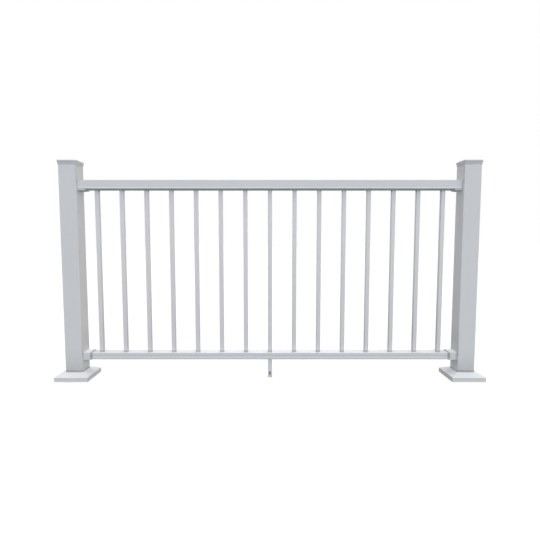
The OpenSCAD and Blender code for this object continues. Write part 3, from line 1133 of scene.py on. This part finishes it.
class RAILING_OT_caps(bpy.types.Operator):
    """Coat the post caps"""

    bl_idname = "railing.caps"
    bl_label = "Post Caps"

    def execute(self, context):
        tone = context.scene.railing_coat.cap_shade_tone
        dress(nodes_named("post_cap"), powder_coat("cap_coat", tone=tone, shade_on=shade_on_caps))
        return {"FINISHED"}


class RAILING_OT_skirts(bpy.types.Operator):
    """Coat the post skirts"""

    bl_idname = "railing.skirts"
    bl_label = "Post Skirts"

    def execute(self, context):
        tone = context.scene.railing_coat.lit_face_tone
        coat = powder_coat("skirt_coat", tone=tone, shade_on=shade_on_skirts)
        dress(nodes_named("post_skirt"), coat)
        return {"FINISHED"}


class RAILING_OT_rails(bpy.types.Operator):
    """Coat both rails and finish the strip under the top one"""

    bl_idname = "railing.rails"
    bl_label = "Rails"

    def execute(self, context):
        rails = [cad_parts["top_rail"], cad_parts["bottom_rail"]]
        dress(rails, powder_coat("rail_coat", ALONG, shade_on=shade_on_rails))
        strip = moulded_plastic("strip_plastic", context.scene.railing_trim.strip_and_shade_colour)
        dress(nodes_named("top_rail_strip"), strip)
        return {"FINISHED"}


class RAILING_OT_balusters(bpy.types.Operator):
    """Coat the balusters"""

    bl_idname = "railing.balusters"
    bl_label = "Balusters"

    def execute(self, context):
        tone = context.scene.railing_coat.baluster_tone
        coat = powder_coat("baluster_coat", UP, tone=tone, shade_on=shade_on_balusters)
        dress(nodes_named("baluster"), coat)
        return {"FINISHED"}


class RAILING_OT_brackets(bpy.types.Operator):
    """Coat the seats and sleeves that hold the rails, and finish the gaskets"""

    bl_idname = "railing.brackets"
    bl_label = "Rail Brackets"

    def execute(self, context):
        coat = context.scene.railing_coat
        seat = powder_coat("seat_coat", tone=coat.seat_lit_tone, shade_on=shade_on_seats)
        dress(nodes_named("top_bracket"), seat)
        sleeve = powder_coat("sleeve_coat", tone=coat.lit_face_tone, shade_on=shade_on_sleeves)
        dress(nodes_named("bottom_bracket"), sleeve)
        gasket = moulded_plastic("gasket_rubber", context.scene.railing_trim.gasket_and_shade_colour)
        dress(nodes_named("rail_gasket"), gasket)
        return {"FINISHED"}


class RAILING_OT_support(bpy.types.Operator):
    """Finish the support leg and its foot"""

    bl_idname = "railing.support"
    bl_label = "Support Leg"

    def execute(self, context):
        tone = context.scene.railing_coat.leg_lit_tone
        dress(nodes_named("support_leg"), powder_coat("leg_coat", UP, tone=tone))
        foot = moulded_plastic("foot_plastic", context.scene.railing_trim.foot_colour)
        dress(nodes_named("support_foot"), foot)
        return {"FINISHED"}


class RAILING_OT_anchors(bpy.types.Operator):
    """Bolt both base plates down"""

    bl_idname = "railing.anchors"
    bl_label = "Anchor Bolts"

    def execute(self, context):
        sizes = context.scene.railing_anchors
        inset = sizes.edge_distance
        steel = plated_steel("bolt_steel", context.scene.railing_trim.steel_colour)
        for side in SIDES:
            low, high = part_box(f"base_plate_{side}")
            centres = [(x, y) for x in (low.x + inset, high.x - inset)
                       for y in (low.y + inset, high.y - inset)]
            washer_top = high.z + sizes.washer_thickness
            bolts = [anchor_bolt(centre, washer_top, BOLT_TURN * number, sizes)
                     for number, centre in enumerate(centres)]
            washers = [washer(centre, high.z, sizes) for centre in centres]
            piece(f"anchor_bolts_{side}", bolts, steel)
            piece(f"anchor_washers_{side}", washers, steel)
        return {"FINISHED"}


class RAILING_OT_welds(bpy.types.Operator):
    """Weld both posts to their base plates"""

    bl_idname = "railing.welds"
    bl_label = "Post Welds"

    def execute(self, context):
        coat = powder_coat("weld_coat")
        for side in SIDES:
            low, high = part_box(f"post_{side}")
            bead = weld_bead(middle(f"post_{side}"), (high.x - low.x) / 2, POST_CORNER, low.z,
                             context.scene.railing_welds)
            piece(f"weld_bead_{side}", [bead], coat)
        return {"FINISHED"}


class RAILING_OT_screws(bpy.types.Operator):
    """Screw the brackets to the rails and the foot to the deck"""

    bl_idname = "railing.screws"
    bl_label = "Screws"

    def execute(self, context):
        steel = plated_steel("screw_steel", context.scene.railing_trim.steel_colour)
        coat = powder_coat("screw_coat")
        screw = pan_screw(context.scene.railing_screws)
        for bracket in ("top_bracket", "bottom_bracket"):
            for side in SIDES:
                low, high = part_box(f"{bracket}_{side}")
                middle_x, reach = (low.x + high.x) / 2, SCREW_SPREAD * (high.y - low.y) / 2
                heads = [placed(screw, (middle_x, y, low.z), HALF_TURN) for y in (-reach, reach)]
                piece(f"{bracket}_screws_{side}", heads, coat)
        foot = middle("support_foot")
        head = placed(screw, (foot.x, foot.y, top("support_foot")))
        piece("deck_screw", [head], steel)
        return {"FINISHED"}


class RAILING_OT_stage(bpy.types.Operator):
    """Set up the floor, the light and the camera"""

    bl_idname = "railing.stage"
    bl_label = "Stage"

    def execute(self, context):
        scene = context.scene
        studio = scene.railing_studio
        low, high = CAD_BOX
        centre = (low + high) / 2
        make_floor(centre, studio)
        make_sky(scene, studio)
        make_lamp("top_lamp", studio.top_strength, studio.top_spread, (0, 0, 1),
                  studio.top_colour)
        make_lamp("front_lamp", studio.front_strength, studio.low_spread,
                  studio.front_direction, studio.front_colour)
        make_lamp("side_lamp", studio.side_strength, studio.low_spread,
                  studio.side_direction, studio.side_colour)
        make_lamp("back_lamp", studio.back_strength, studio.low_spread,
                  studio.back_direction, studio.front_colour)
        make_camera(scene, centre, studio)
        scene.view_settings.view_transform = "Standard"
        return {"FINISHED"}


OPERATORS = (
    RAILING_OT_posts, RAILING_OT_caps, RAILING_OT_skirts, RAILING_OT_rails,
    RAILING_OT_balusters, RAILING_OT_brackets, RAILING_OT_support, RAILING_OT_anchors,
    RAILING_OT_welds, RAILING_OT_screws, RAILING_OT_stage,
)


class RAILING_PT_steps(bpy.types.Panel):
    """The steps and the sizes and colours that they use"""

    bl_label = "Railing Bay"
    bl_space_type = "VIEW_3D"
    bl_region_type = "UI"
    bl_category = "Railing"

    def draw(self, context):
        for operator in OPERATORS:
            self.layout.operator(operator.bl_idname)
        for group in GROUPS:
            box = self.layout.box()
            settings = getattr(context.scene, group)
            for name in settings.bl_rna.properties.keys():
                if name not in ("rna_type", "name"):
                    box.prop(settings, name)


def register():
    """Adds the settings to every scene, and the steps and their panel to Blender."""
    for group, kind in GROUPS.items():
        bpy.utils.register_class(kind)
        setattr(bpy.types.Scene, group, PointerProperty(type=kind))
    for kind in (*OPERATORS, RAILING_PT_steps):
        bpy.utils.register_class(kind)


def unregister():
    """Takes them away again, last first."""
    for kind in (RAILING_PT_steps, *reversed(OPERATORS)):
        bpy.utils.unregister_class(kind)
    for group, kind in reversed(GROUPS.items()):
        delattr(bpy.types.Scene, group)
        bpy.utils.unregister_class(kind)


def main():
    """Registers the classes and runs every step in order."""
    register()
    for operator in OPERATORS:
        family, name = operator.bl_idname.split(".")
        getattr(getattr(bpy.ops, family), name)()


if __name__ == "__main__":
    main()
